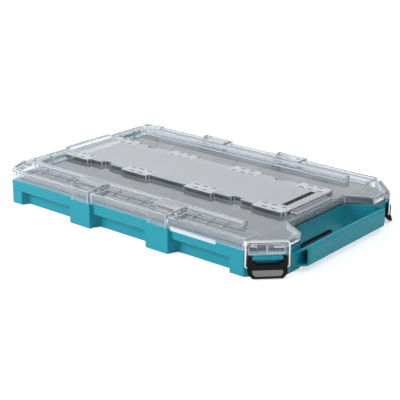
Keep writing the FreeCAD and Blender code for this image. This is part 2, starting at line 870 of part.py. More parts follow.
def make_lid():
    body = new_body("lid")
    add_prism(body, [outer_plan()], lid_bottom, dim.lid_deck)
    shelf = rectangle(left_end, chamfer_x, -side, -rail_outer)
    add_prism(body, both_sides([shelf]), dim.lid_deck, dim.lid_shelf)
    round_left_corners(body)
    for face in (FRONT, REAR):
        add_catch(body, face)
    rail_right = wing_end - dim.rail_end_gap
    rail_left = left_end + dim.lip_depth
    rail = rectangle(rail_left, rail_right, -rail_outer, -dim.rail_inner)
    lip = rectangle(left_end, rail_left, -rail_outer, rail_outer)
    bump = rectangle(left_end, rail_left, -dim.lip_bump_half, dim.lip_bump_half)
    add_prism(body, both_sides([rail]), dim.lid_deck, dim.rail_top)
    add_prism(body, [lip], dim.lid_deck, dim.rail_top)
    add_prism(body, [bump], dim.lid_deck, dim.tongue_top)
    add_prism(body, [panel_outline(ZERO)], dim.lid_deck, dim.panel_top)
    step_left = notch_x - dim.panel_right_gap
    step = rectangle(step_left, notch_x - dim.step_edge_gap, -dim.step_half, dim.step_half)
    add_prism(body, [step], dim.lid_deck, dim.step_top)
    add_skirt_lips(body)
    add_end_ribs(body)
    add_tongues(body)
    add_corner_blocks(body)
    hollow_lid(body)
    seal_outer = dim.wall - dim.seal_inset - dim.seal_width
    ring = [inner_plan(seal_outer), inner_plan(dim.wall - dim.seal_inset)]
    cut_prism(body, ring, lid_bottom, rim + dim.seal_height)
    add_lid_hinges(body)
    x_low, x_high = strike_span()
    gap = dim.pin_gap
    recess = rectangle(x_low - gap, x_high + gap, -dim.strike_half - gap, dim.strike_half + gap)
    cut_prism(body, [recess], dim.panel_top - dim.strike_thickness, dim.panel_top + dim.overrun)
    add_shelf_ribs(body)
    cut_panel_slots(body)
    merge_faces(body)


def make_lid_seal():
    body = new_body("lid_seal")
    outer = dim.wall - dim.seal_inset - dim.seal_width
    ring = [inner_plan(outer), inner_plan(dim.wall - dim.seal_inset)]
    add_prism(body, ring, rim, rim + dim.seal_height)


def make_stack_lock_strike():
    body = new_body("stack_lock_strike")
    x_low, x_high = strike_span()
    bar = rectangle(x_low, x_high, -dim.strike_half, dim.strike_half)
    add_prism(body, [bar], dim.panel_top - dim.strike_thickness, dim.panel_top)


def new_pin(node, start, rotation, radius, length):
    pin = doc.addObject("Part::Cylinder", node)
    pin.Label = node
    bind(pin, "Radius", radius)
    bind(pin, "Height", length)
    place(pin, start, rotation)
    parts.append(pin)


def make_hinge_pin(face):
    half = dim.hinge_ear_length / 2 + dim.hinge_end_gap + dim.hinge_knuckle_length
    start = (hinge_x, hinge_ys[face] - half, dim.hinge_height)
    new_pin(f"hinge_pin_{SIDE_NAMES[face]}", start, ALONG_Y, dim.hinge_pin_radius, half * 2)


def make_latch_pin(face):
    start = latch_point(face, -dim.lever_width / 2, dim.lever_pivot_out, dim.lever_pivot_height)
    rotation = latch_rotation(face) * ALONG_X
    node = f"latch_pin_{SIDE_NAMES[face]}"
    new_pin(node, start, rotation, dim.latch_pin_radius, dim.lever_width)


def new_latch_body(node, face):
    """A body whose own X runs along the chamfer and whose own -Y points out of it."""
    body = new_body(f"{node}_{SIDE_NAMES[face]}")
    place(body, latch_point(face, ZERO, ZERO, ZERO), latch_rotation(face))
    return body


def cut_lower_corners(body, half_width, bottom, corner):
    """Slanted cuts across the two lower corners of a latch piece."""
    for end in (FRONT, REAR):
        sketch = new_sketch(body, "XZ_Plane")
        outer = (half_width + dim.overrun) * end
        inner = (half_width - corner) * end
        low = bottom - dim.overrun
        over = dim.overrun * end
        add_polygon(sketch, [(inner - over, low), (outer, low), (outer, bottom + corner + dim.overrun)])
        pocket = new_feature(body, "Pocket")
        pocket.Profile = sketch
        pocket.SideType = "Symmetric"
        bind(pocket, "Length", (dim.lever_lip_out + dim.pad_thickness + dim.overrun) * 2)


def make_latch_lever(face):
    body = new_latch_body("latch_lever", face)
    bar_front = dim.lever_pivot_out + dim.lever_arm_radius
    profile = [
        (-dim.lever_inner, dim.lever_bar_top),
        (-dim.lever_inner, dim.lever_back_bottom),
        (-dim.lever_lip_back, dim.lever_bottom),
        (-dim.lever_lip_out, dim.lever_bottom),
        (-dim.lever_lip_out, dim.lever_lip_top),
        (-bar_front, dim.lever_bar_bottom),
        (-bar_front, dim.lever_bar_top),
    ]
    extrude_across(body, "Pad", "YZ_Plane", profile, dim.lever_width)
    half = dim.lever_width / 2
    arm_height = dim.lever_pivot_height - dim.lever_bar_bottom
    for start in (-half, half - dim.lever_arm):
        corner = (start, -bar_front, dim.lever_bar_bottom)
        add_box(body, "Additive", corner, (dim.lever_arm, dim.lever_arm_radius * 2, arm_height))
        pivot = (start, -dim.lever_pivot_out, dim.lever_pivot_height)
        add_cylinder(body, "Additive", pivot, ALONG_X, dim.lever_arm_radius, dim.lever_arm)
    step_height = dim.lever_bar_top + dim.lever_step_height - dim.lever_bar_bottom
    for start in (dim.lever_arm - half, half - dim.lever_arm - dim.lever_step_width):
        corner = (start, -bar_front, dim.lever_bar_bottom)
        sizes = (dim.lever_step_width, dim.lever_arm_radius * 2, step_height)
        add_box(body, "Additive", corner, sizes)
    pivot = (-half, -dim.lever_pivot_out, dim.lever_pivot_height)
    pin_radius = dim.latch_pin_radius + dim.pin_gap
    add_cylinder(body, "Subtractive", pivot, ALONG_X, pin_radius, dim.lever_width)
    socket_depth = half + dim.running_gap - dim.bail_half + dim.bail_tail
    socket_radius = dim.bail_wire_radius + dim.pin_gap
    for start in (-half, half - socket_depth):
        socket = (start, -dim.bail_out, dim.bail_pivot_height)
        add_cylinder(body, "Subtractive", socket, ALONG_X, socket_radius, socket_depth)
    cut_lower_corners(body, half, dim.lever_bottom, dim.lever_corner)
    merge_faces(body)


def make_latch_pad(face):
    body = new_latch_body("latch_pad", face)
    top_out = dim.lever_pivot_out + dim.lever_arm_radius
    run = dim.lever_lip_out - top_out
    drop = dim.lever_bar_bottom - dim.lever_lip_top
    edge = [(-top_out - run * share, dim.lever_bar_bottom - drop * share) for share in PAD_SHARES]
    outer = [(y - dim.pad_thickness, z) for y, z in reversed(edge)]
    extrude_across(body, "Pad", "YZ_Plane", edge + outer, dim.pad_width)
    bottom = edge[1][1]
    cut_lower_corners(body, dim.pad_width / 2, bottom, dim.pad_corner)


def make_latch_bail(face):
    """Bent wire: a top bar, two legs and two tails that turn in the lever's sides."""
    body = new_latch_body("latch_bail", face)
    bend = dim.bail_bend
    low = dim.bail_pivot_height
    high = dim.catch_top + dim.running_gap + dim.bail_wire_radius
    half = dim.bail_half
    tail = half - dim.bail_tail
    spine = new_sketch(body, "XZ_Plane", dim.bail_out)
    tail_bend = dim.bail_tail_bend
    near = bend * (1 - ROOT_HALF)
    tail_near = tail_bend * (1 - ROOT_HALF)
    runs = [
        ((-tail, low), (tail_bend - half, low)),
        ((-half, low + tail_bend), (-half, high - bend)),
        ((bend - half, high), (half - bend, high)),
        ((half, high - bend), (half, low + tail_bend)),
        ((half - tail_bend, low), (tail, low)),
    ]
    middles = [
        (tail_near - half, low + tail_near),
        (near - half, high - near),
        (half - near, high - near),
        (half - tail_near, low + tail_near),
    ]
    add_path(spine, runs, middles)
    section = new_sketch(body, "YZ_Plane", -tail)
    centre = flat_vector(-dim.bail_out, low)
    wire = Part.Circle(centre, FreeCAD.Vector(0, 0, 1), dim.bail_wire_radius.value)
    circle = section.addGeometry(wire, False)
    radius = Sketcher.Constraint("Radius", circle, dim.bail_wire_radius.value)
    constrain(section, [(radius, dim.bail_wire_radius)] + pins(circle, 3, -dim.bail_out, low))
    pipe = new_feature(body, "AdditivePipe")
    pipe.Profile = section
    pipe.Spine = spine


def make_stack_lock_slider():
    """Plate with a nose through the hand opening's wall; its shoulders stop it at that wall."""
    body = new_body("stack_lock_slider")
    shoulder_x = inside_right - dim.running_gap
    wide = dim.slider_half + dim.slider_shoulder
    plate = [
        (slider_back, -wide),
        (shoulder_x, -wide),
        (shoulder_x, -dim.slider_half),
        (slider_front, -dim.slider_half),
    ]
    add_prism(body, [closed_by_mirror(plate)], dim.slider_bottom, dim.slider_top)


def make_stack_lock_springs():
    """Two return springs, each drawn as the sleeve that its coil fills."""
    middle = (dim.slider_bottom + dim.slider_top) / 2
    sleeves = []
    for face in (FRONT, REAR):
        radii = (dim.spring_radius, dim.spring_radius - dim.spring_wire)
        shells = []
        for radius in radii:
            shell = doc.addObject("Part::Cylinder", "spring_shell")
            bind(shell, "Radius", radius)
            bind(shell, "Height", dim.spring_length)
            place(shell, (housing_front, dim.spring_offset * face, middle), ALONG_X)
            shells.append(shell)
        sleeve = doc.addObject("Part::Cut", "spring_sleeve")
        sleeve.Base, sleeve.Tool = shells
        sleeves.append(sleeve)
    group_of_solids("stack_lock_springs", sleeves)


def group_of_solids(node, members):
    group = doc.addObject("Part::Compound", node)
    group.Label = node
    group.Links = members
    parts.append(group)


def make_stack_lock_cover():
    body = new_body("stack_lock_cover")
    half = housing_half + dim.housing_side
    plate = rectangle(housing_front - dim.housing_back, inside_right - dim.running_gap, -half, half)
    add_prism(body, [plate], cover_bottom, cover_top)
    for x, y in screw_places():
        start = (x, y, cover_bottom)
        radius = dim.screw_radius + dim.pin_gap
        add_cylinder(body, "Subtractive", start, UPRIGHT, radius, dim.cover_thickness)


def make_stack_lock_screws():
    screws = []
    for x, y in screw_places():
        shank = doc.addObject("Part::Cylinder", "screw_shank")
        bind(shank, "Radius", dim.screw_radius)
        bind(shank, "Height", dim.screw_length)
        place(shank, (x, y, cover_bottom), UPRIGHT)
        head = doc.addObject("Part::Cylinder", "screw_head")
        bind(head, "Radius", dim.screw_head_radius)
        bind(head, "Height", dim.screw_head_height)
        place(head, (x, y, cover_bottom - dim.screw_head_height), UPRIGHT)
        screw = doc.addObject("Part::Fuse", "screw")
        screw.Base = shank
        screw.Tool = head
        screws.append(screw)
    group_of_solids("stack_lock_screws", screws)


def add_rounded_rectangle(sketch, x_low, x_high, y_low, y_high, radius):
    near = radius * (1 - ROOT_HALF)
    runs = [
        ((x_low + radius, y_low), (x_high - radius, y_low)),
        ((x_high, y_low + radius), (x_high, y_high - radius)),
        ((x_high - radius, y_high), (x_low + radius, y_high)),
        ((x_low, y_high - radius), (x_low, y_low + radius)),
    ]
    middles = [
        (x_high - near, y_low + near),
        (x_high - near, y_high - near),
        (x_low + near, y_high - near),
        (x_low + near, y_low + near),
    ]
    add_path(sketch, runs, middles)


def make_bin(face, column):
    """A drafted bin with rounded upright corners, open at the top."""
    body = new_body(f"bin_{SIDE_NAMES[face]}_{column + 1}")
    bins_left = inside_left + dim.bin_end_gap
    pitch = (inside_right - bins_left) / BIN_COLUMNS
    x_low = bins_left + pitch * column + dim.bin_gap / 2
    x_high = bins_left + pitch * (column + 1) - dim.bin_gap / 2
    near_y = dim.bin_gap / 2
    far_y = inside_side - dim.bin_gap / 2
    y_low, y_high = (near_y, far_y) if face == REAR else (-far_y, -near_y)
    floor_inset = dim.bin_draft + dim.bin_wall
    levels = {
        "Additive": [(dim.bin_draft, floor_top), (ZERO, dim.bin_top)],
        "Subtractive": [(floor_inset, floor_top + dim.bin_wall), (dim.bin_wall, dim.bin_top)],
    }
    for kind, sections in levels.items():
        sketches = []
        for inset, z in sections:
            sketches.append(new_sketch(body, "XY_Plane", z))
            walls = (x_low + inset, x_high - inset, y_low + inset, y_high - inset)
            add_rounded_rectangle(sketches[-1], *walls, dim.bin_round - inset / 2)
        loft = new_feature(body, f"{kind}Loft")
        loft.Profile = sketches[0]
        loft.Sections = sketches[1:]
        loft.Ruled = True


def write_parts():
    doc.recompute()
    for item in doc.Objects:
        if "Invalid" in item.State or "Error" in item.State:
            raise RuntimeError(f"{item.Label} ({item.TypeId}) failed: {item.getStatusString()}")
        base = getattr(item, "BaseFeature", None)
        removes = item.TypeId == "PartDesign::Pocket" or "Subtractive" in item.TypeId
        if removes and item.Shape.Volume >= base.Shape.Volume:
            raise RuntimeError(f"{item.Label} ({item.Name}) cuts nothing")
    os.makedirs("parts", exist_ok=True)
    for item in parts:
        if item.Shape.isNull() or not item.Shape.isValid():
            raise RuntimeError(f"{item.Label} has no valid shape")
        item.Shape.exportStep(f"parts/{item.Label}.step")
        box = item.Shape.BoundBox
        print(item.Label, len(item.Shape.Solids), round(item.Shape.Volume),
              [round(v, 2) for v in (box.XMin, box.XMax, box.YMin, box.YMax, box.ZMin, box.ZMax)])


make_base_tray()
make_lid()
make_lid_seal()
make_stack_lock_strike()
make_stack_lock_slider()
make_stack_lock_springs()
make_stack_lock_cover()
make_stack_lock_screws()
for face in (FRONT, REAR):
    make_hinge_pin(face)
    make_latch_lever(face)
    make_latch_pad(face)
    make_latch_pin(face)
    make_latch_bail(face)
    for column in range(BIN_COLUMNS):
        make_bin(face, column)
write_parts()
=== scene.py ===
import json
import math

import bmesh
import bpy
from mathutils import Matrix, Vector, geometry


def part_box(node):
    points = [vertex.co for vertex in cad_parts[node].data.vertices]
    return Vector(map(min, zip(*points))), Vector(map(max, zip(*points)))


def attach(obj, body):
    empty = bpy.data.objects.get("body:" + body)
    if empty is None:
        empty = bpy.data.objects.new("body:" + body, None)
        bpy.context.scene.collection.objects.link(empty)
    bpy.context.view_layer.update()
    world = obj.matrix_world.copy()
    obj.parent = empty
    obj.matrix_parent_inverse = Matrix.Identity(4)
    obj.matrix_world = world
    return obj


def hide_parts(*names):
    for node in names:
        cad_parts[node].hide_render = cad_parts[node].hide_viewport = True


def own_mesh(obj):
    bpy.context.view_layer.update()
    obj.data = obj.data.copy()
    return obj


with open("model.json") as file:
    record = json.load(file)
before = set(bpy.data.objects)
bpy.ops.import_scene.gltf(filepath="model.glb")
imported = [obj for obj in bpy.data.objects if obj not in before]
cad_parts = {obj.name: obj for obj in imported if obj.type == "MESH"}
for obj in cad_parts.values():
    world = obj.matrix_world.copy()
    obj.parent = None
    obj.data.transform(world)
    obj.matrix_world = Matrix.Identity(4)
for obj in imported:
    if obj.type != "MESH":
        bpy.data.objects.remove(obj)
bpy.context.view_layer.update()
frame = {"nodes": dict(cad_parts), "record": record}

MM = 0.001
ALONG = Vector((1, 0, 0))
ACROSS = Vector((0, 1, 0))
UP = Vector((0, 0, 1))

# Names: the two sides, the moulded nodes of the stack lock, and the bins
SIDES = ("front", "rear")
LOCK_NODES = ("stack_lock_strike", "stack_lock_slider", "stack_lock_cover")
BIN_NODES = sorted(node for node in frame["nodes"] if node.startswith("bin_"))

# Camera fitted to the photograph: pixels of its frame, degrees and metres
IMAGE_PIXELS = 400
FOCAL_PIXELS = 1075.7
SENSOR_MM = 36.0
CAMERA_AZIMUTH = 39.58
CAMERA_ELEVATION = 19.53
CAMERA_ROLL = 0.23
CAMERA_DISTANCE = 1.70806
AIM_RIGHT = -0.01007
AIM_UP = 0.01615

# Lamps: places and sizes in metres, powers in watts
KEY_LAMP = {"place": (-1.4, -2.0, 1.45), "size": 1.2, "power": 56.0}
FILL_LAMP = {"place": (1.2, 0.3, 2.2), "size": 1.6, "power": 14.0}
LAMP_AIM = (0, 0, 0.03)

# Surround: its strength as light on the object, and as the white that is seen
WHITE = (1, 1, 1, 1)
SURROUND_LIGHT = 0.3
SURROUND_SEEN = 1.0

# Floor: half its width in metres, its roughness, and the glow that brings it near the surround's white
FLOOR_REACH = 6.0
FLOOR_ROUGHNESS = 0.9
FLOOR_GLOW = 0.6

# Surface colours, linear
TEAL = (0.018, 0.345, 0.445)
CLEAR = (0.87, 0.92, 0.97)
# Darker clear plastic for the lid's panel walls: a painted shade
PAINTED_SHADE_CLEAR = (0.36, 0.39, 0.42)
BLACK = (0.008, 0.0085, 0.0095)
PAD_GREY = (0.265, 0.265, 0.27)
BIN_GREY = (0.115, 0.13, 0.15)
RUBBER_BLACK = (0.012, 0.012, 0.013)
STEEL = (0.68, 0.69, 0.71)
PALE = (0.86, 0.86, 0.86)

# Noise patterns of the finishes: features per metre, fine detail, and stretch along the axes
FLOW_MARKS = {"scale": 14.0, "detail": 4.0, "stretch": (1.0, 1.0, 2.5)}
SCUFFS = {"scale": 90.0, "detail": 5.0}
MOULD_GRAIN = {"scale": 2600.0, "detail": 2.0}
HAZE = {"scale": 9.0, "detail": 3.0}
HANDLING_MARKS = {"scale": 60.0, "detail": 6.0, "stretch": (1.0, 3.0, 1.0)}
CLEAR_WAVES = {"scale": 18.0, "detail": 2.0}
DRAW_LINES = {"scale": 700.0, "detail": 3.0, "stretch": (0.15, 0.15, 1.0)}
BLOOM = {"scale": 120.0, "detail": 5.0}
RUBBER_GRAIN = {"scale": 1500.0, "detail": 2.0}
FLOOR_GRAIN = {"scale": 40.0, "detail": 4.0}

# Range that most of a pattern's values fill
NOISE_LOW = 0.3
NOISE_HIGH = 0.7

# Darkest and lightest shares of a colour, between which its pattern goes
FLOW_SHARES = (0.93, 1.06)
HAZE_SHARES = (0.96, 1.0)
STEEL_SHARES = (0.86, 1.08)
BLOOM_SHARES = (1.0, 2.2)
FLOOR_SHARES = (0.99, 1.0)

# Moulded plastics: middle roughness, depth of grain in metres, and strength of reflection
BASE_FINISH = {"roughness": 0.45, "grain_depth": 0.03 * MM, "specular": 0.3}
BLACK_FINISH = {"roughness": 0.5, "grain_depth": 0.04 * MM, "specular": 0.12}
PAD_FINISH = {"roughness": 0.5, "grain_depth": 0.04 * MM, "specular": 0.5}
BIN_FINISH = {"roughness": 0.5, "grain_depth": 0.02 * MM, "specular": 0.5}
SCUFF_SPREAD = 0.06

# Clear plastics: shares of light let through, ranges of roughness, and depth of waves in metres
CLEAR_SHARE = 0.92
HAZY_SHARE = 0.56
# The next share and the rougher range below make a whiter, less clear finish that paints highlights on
# the lid
PAINTED_HIGHLIGHT_SHARE = 0.3
CLEAR_ROUGHNESS = (0.02, 0.06)
PAINTED_HIGHLIGHT_ROUGHNESS = (0.05, 0.1)
WAVE_DEPTH = 0.03 * MM
CLEAR_IOR = 1.5

# Steel and rubber: ranges of roughness, and depths of relief in metres
METAL_SHARE = 1.0
STEEL_ROUGHNESS = (0.16, 0.3)
LINE_DEPTH = 0.02 * MM
RUBBER_ROUGHNESS = (0.72, 0.9)
RUBBER_DEPTH = 0.05 * MM

# Rounded edges: widths in metres, and the bevel's steps and round profile
BASE_ROUNDING = 0.9 * MM
LID_ROUNDING = 0.8 * MM
LEVER_ROUNDING = 0.7 * MM
BIN_ROUNDING = 0.5 * MM
LOCK_ROUNDING = 0.4 * MM
PAD_ROUNDING = 0.35 * MM
ROUNDING_STEPS = 2
ROUND_PROFILE = 0.5

# Choice of the edges to round: a weld in metres, angles in radians, and shares of a width and of a gap
WELD = 0.002 * MM
FLAT_ANGLE = math.radians(0.6)
SHARP_ANGLE = math.radians(25.0)
ROOM_SHARE = 2.2
ACROSS_SHARE = 0.5

# Shading of the pieces: the angle that stays a crease, and how far large faces set the normals
CREASE_ANGLE = math.radians(46.0)
FLAT_FACE_WEIGHT = 100

# Lid, in millimetres of the frame: its deck, the panel with its blocks, and the lips of the skirt
LID_DECK = 53.0
PANEL_TOP = 60.0
PANEL_HALF = 65.5
PANEL_MIDDLE = -30.0
FOOT_REACH = 1.0
BLOCK_OFFSETS = (-194.5, -65.5, 65.5, 194.5)
BLOCK_HALF = 27.0
BLOCK_INNER = 42.0
BODY_HALF = 172.5
LIP_TOP = 42.0
LIP_LEFT = 74.0
LIP_RIGHT = 186.0

# How faces are told apart: a match in millimetres, and the upward share of a normal
LEVEL_MATCH = 0.2
UPWARD_SHARE = 0.9
UPRIGHT_SHARE = 0.3
DOWNWARD_SHARE = -0.1

# Grip bar, in millimetres of the frame: the slope from its ridge to the hand opening
GRIP_INNER = 247.0
GRIP_RIDGE = 261.0
GRIP_TOP = 36.8
GRIP_ROOF = 30.5
GRIP_ROOT_HALF = 120.0
GRIP_FALL_SHARE = 0.58

# Barrel between the lugs of a latch, round the lever's pin, in metres
BARREL_RADIUS = 3.0 * MM
BARREL_BORE = 1.65 * MM
BARREL_HALF = 15.65 * MM
BARREL_BACK = 5.0 * MM
BARREL_POINTS = 12

# Coils of the stack lock, in turns, points and the wire's share of a coil's width
COIL_TURNS = 6
COIL_POINTS = 20
WIRE_POINTS = 8
WIRE_SHARE = 0.14
COIL_AXIS = ALONG


def shade(color, share):
    return tuple(min(channel * share, 1.0) for channel in color)


class Tree:
    """A material's node tree, with short calls for the nodes that the finishes share."""

    def __init__(self, name):
        self.material = bpy.data.materials.new(name)
        self.material.use_nodes = True
        self.nodes = self.material.node_tree.nodes
        self.shader = self.nodes["Principled BSDF"]
        self.place = self.nodes.new("ShaderNodeTexCoord").outputs["Object"]

    def link(self, source, target):
        self.material.node_tree.links.new(source, target)

    def set(self, **sockets):
        for name, value in sockets.items():
            self.shader.inputs[name.replace("_", " ")].default_value = value

    def noise(self, scale, detail, stretch=None):
        """A zero-to-one pattern of features per metre, stretched along the axes if asked."""
        texture = self.nodes.new("ShaderNodeTexNoise")
        texture.inputs["Scale"].default_value = scale
        texture.inputs["Detail"].default_value = detail
        source = self.place
        if stretch:
            mapping = self.nodes.new("ShaderNodeMapping")
            mapping.inputs["Scale"].default_value = stretch
            self.link(source, mapping.inputs["Vector"])
            source = mapping.outputs["Vector"]
        self.link(source, texture.inputs["Vector"])
        return texture.outputs["Fac"]

    def tint(self, pattern, color, shares):
        """Base colour from a dark to a light share of one colour."""
        ramp = self.nodes.new("ShaderNodeValToRGB")
        for element, share in zip(ramp.color_ramp.elements, shares):
            element.color = (*shade(color, share), 1)
        self.link(pattern, ramp.inputs["Fac"])
        self.link(ramp.outputs["Color"], self.shader.inputs["Base Color"])

    def roughen(self, pattern, low, high):
        """Roughness from a low to a high value."""
        node = self.nodes.new("ShaderNodeMapRange")
        node.inputs["From Min"].default_value = NOISE_LOW
        node.inputs["From Max"].default_value = NOISE_HIGH
        node.inputs["To Min"].default_value = low
        node.inputs["To Max"].default_value = high
        self.link(pattern, node.inputs["Value"])
        self.link(node.outputs["Result"], self.shader.inputs["Roughness"])

    def bump(self, pattern, depth):
        """Surface relief of a depth in metres."""
        node = self.nodes.new("ShaderNodeBump")
        node.inputs["Distance"].default_value = depth
        self.link(pattern, node.inputs["Height"])
        self.link(node.outputs["Normal"], self.shader.inputs["Normal"])


def moulded_plastic(name, color, roughness, grain_depth, specular):
    """Satin moulded plastic: fine spark-eroded grain and faint flow marks."""
    tree = Tree(name)
    tree.set(Specular_IOR_Level=specular)
    tree.tint(tree.noise(**FLOW_MARKS), color, FLOW_SHARES)
    tree.roughen(tree.noise(**SCUFFS), roughness - SCUFF_SPREAD, roughness + SCUFF_SPREAD)
    tree.bump(tree.noise(**MOULD_GRAIN), grain_depth)
    return tree.material


def clear_plastic(name, clarity_share, roughness=CLEAR_ROUGHNESS, color=CLEAR):
    """Clear moulded plastic: faint haze, handling marks and soft flow waves."""
    tree = Tree(name)
    tree.set(Transmission_Weight=clarity_share, IOR=CLEAR_IOR)
    tree.tint(tree.noise(**HAZE), color, HAZE_SHARES)
    tree.roughen(tree.noise(**HANDLING_MARKS), *roughness)
    tree.bump(tree.noise(**CLEAR_WAVES), WAVE_DEPTH)
    return tree.material


def drawn_steel():
    """Bright drawn wire and rod, with fine lines along the draw."""
    tree = Tree("steel")
    tree.set(Metallic=METAL_SHARE)
    lines = tree.noise(**DRAW_LINES)
    tree.tint(lines, STEEL, STEEL_SHARES)
    tree.roughen(lines, *STEEL_ROUGHNESS)
    tree.bump(lines, LINE_DEPTH)
    return tree.material


def seal_rubber():
    """Matte black rubber with a dusty bloom."""
    tree = Tree("seal_rubber")
    bloom = tree.noise(**BLOOM)
    tree.tint(bloom, RUBBER_BLACK, BLOOM_SHARES)
    tree.roughen(bloom, *RUBBER_ROUGHNESS)
    tree.bump(tree.noise(**RUBBER_GRAIN), RUBBER_DEPTH)
    return tree.material


MATERIALS = {
    "base_plastic": moulded_plastic("base_plastic", TEAL, **BASE_FINISH),
    "lid_clear": clear_plastic("lid_clear", CLEAR_SHARE),
    "black_plastic": moulded_plastic("black_plastic", BLACK, **BLACK_FINISH),
    "pad_plastic": moulded_plastic("pad_plastic", PAD_GREY, **PAD_FINISH),
    "bin_plastic": moulded_plastic("bin_plastic", BIN_GREY, **BIN_FINISH),
    "seal_rubber": seal_rubber(),
    "steel": drawn_steel(),
}

# Finishes of the lid after its clear plastic: a whiter, less clear one for painted highlights, a hazy
# one, and a darker one for painted shade; and the places of all four in its list of materials
LID_FINISHES = (
    clear_plastic("lid_painted_highlight", PAINTED_HIGHLIGHT_SHARE, PAINTED_HIGHLIGHT_ROUGHNESS),
    clear_plastic("lid_hazy", HAZY_SHARE),
    clear_plastic("lid_painted_shade", CLEAR_SHARE, color=PAINTED_SHADE_CLEAR),
)
CLEAR_PLACE, PAINTED_HIGHLIGHT_PLACE, HAZY_PLACE, PAINTED_SHADE_PLACE = range(len(LID_FINISHES) + 1)


def slot_of(node):
    return next(s["material_slot"] for s in frame["record"]["subparts"] if s["node"] == node)


def body_of(node):
    bodies = frame["record"]["behaviour"]["bodies"]
    return next(body for body, members in bodies.items() if node in members)


def joint_named(name):
    return next(joint for joint in frame["record"]["behaviour"]["joints"] if joint["name"] == name)


def dress_nodes():
    """Each CAD node takes the material of its slot."""
    for subpart in frame["record"]["subparts"]:
        mesh = frame["nodes"][subpart["node"]].data
        mesh.materials.clear()
        mesh.materials.append(MATERIALS[subpart["material_slot"]])


def add_piece(name, work, node):
    """A piece from finished mesh data, with the slot and the body of a CAD node."""
    slot = slot_of(node)
    mesh = bpy.data.meshes.new(name)
    work.to_mesh(mesh)
    work.free()
    mesh.shade_smooth()
    mesh.set_sharp_from_angle(angle=CREASE_ANGLE)
    mesh.materials.append(MATERIALS[slot])
    piece = bpy.data.objects.new(name, mesh)
    bpy.context.scene.collection.objects.link(piece)
    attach(piece, body_of(node))
    return piece


def nearest_on(edge, point):
    """The point of an edge that is nearest to a point."""
    first, last = (vert.co for vert in edge.verts)
    share = geometry.intersect_point_line(point, first, last)[1]
    return first.lerp(last, min(max(share, 0.0), 1.0))


def room_across(face, edge):
    """How far a face reaches from one of its edges before another edge, apart from its neighbours."""
    along = (edge.verts[1].co - edge.verts[0].co).normalized()
    inward = face.normal.cross(along)
    room = math.inf
    for other in face.edges:
        if set(other.verts) & set(edge.verts):
            continue
        gaps = [nearest_on(other, vert.co) - vert.co for vert in edge.verts]
        gaps += [vert.co - nearest_on(edge, vert.co) for vert in other.verts]
        for gap in gaps:
            if abs(gap.dot(inward)) > gap.length * ACROSS_SHARE:
                room = min(room, gap.length)
    return room


def is_folded(face_triangles, face):
    """Whether any triangle of a face looks the other way than the face does."""
    for loops in face_triangles:
        first, second, third = (loop.vert.co for loop in loops)
        if (second - first).cross(third - first).dot(face.normal) < 0:
            return True
    return False


def folded_sources(work, source):
    """Numbers of the faces that came out folded."""
    triangles = {}
    for loops in work.calc_loop_triangles():
        triangles.setdefault(loops[0].face, []).append(loops)
    return {face[source] for face, group in triangles.items() if is_folded(group, face)}


def slope_grip(work):
    """Lets the grip bar's top and the roof of its hollow fall away towards the hand opening."""
    for vert in work.verts:
        x, y, z = vert.co / MM
        in_plan = GRIP_INNER - LEVEL_MATCH < x < GRIP_RIDGE and abs(y) < GRIP_ROOT_HALF + LEVEL_MATCH
        if in_plan and GRIP_ROOF < z < GRIP_TOP + LEVEL_MATCH:
            vert.co.z -= (GRIP_RIDGE - x) * GRIP_FALL_SHARE * MM


def is_panel_top(normal, middle):
    """Whether a face of the lid lies in the flat top of its panel."""
    level = abs(middle.z / MM - PANEL_TOP) < LEVEL_MATCH
    return level and abs(middle.y / MM) < PANEL_HALF and normal.z > UPWARD_SHARE


def split_panel(work):
    """Cuts the panel's flat top along its blocks' borders, so that they can take their own finish."""
    work.normal_update()
    block_sides = (-BLOCK_HALF, BLOCK_HALF)
    ends = [PANEL_MIDDLE + offset + side for offset in BLOCK_OFFSETS for side in block_sides]
    cuts = [(ALONG, end) for end in ends] + [(ACROSS, -BLOCK_INNER), (ACROSS, BLOCK_INNER)]
    for direction, place in cuts:
        tops = [face for face in work.faces if is_panel_top(face.normal, face.calc_center_median())]
        edges = dict.fromkeys(edge for face in tops for edge in face.edges)
        verts = dict.fromkeys(vert for face in tops for vert in face.verts)
        bmesh.ops.bisect_plane(
            work, geom=[*tops, *edges, *verts], dist=WELD,
            plane_co=direction * place * MM, plane_no=direction,
        )


MESH_EDITS = {"base_tray": slope_grip, "lid": split_panel}


def clean_copy(node):
    """A node's mesh with its flat faces whole, each numbered, and with the edit that the node has."""
    work = bmesh.new()
    work.from_mesh(frame["nodes"][node].data)
    bmesh.ops.remove_doubles(work, verts=work.verts, dist=WELD)
    bmesh.ops.dissolve_limit(work, angle_limit=FLAT_ANGLE, verts=work.verts, edges=work.edges)
    if node in MESH_EDITS:
        MESH_EDITS[node](work)
    work.normal_update()
    source = work.faces.layers.int.new("source")
    for number, face in enumerate(work.faces):
        face[source] = number
    return work, source


def round_sharp_edges(node, width, edge_place):
    """A node's mesh with its sharp edges rounded, where the faces beside them have the room."""
    left_sharp = set()
    while True:
        work, source = clean_copy(node)
        chosen = []
        for edge in work.edges:
            if not edge.is_manifold or edge.calc_face_angle(0) < SHARP_ANGLE:
                continue
            faces = edge.link_faces
            if any(face[source] in left_sharp for face in faces):
                continue
            if min(room_across(face, edge) for face in faces) > width * ROOM_SHARE:
                chosen.append(edge)
        bmesh.ops.bevel(
            work, geom=chosen, offset=width, offset_type="OFFSET", segments=ROUNDING_STEPS,
            profile=ROUND_PROFILE, affect="EDGES", clamp_overlap=False, material=edge_place,
        )
        work.normal_update()
        folded = folded_sources(work, source) - left_sharp
        if not folded:
            return work
        left_sharp |= folded
        work.free()


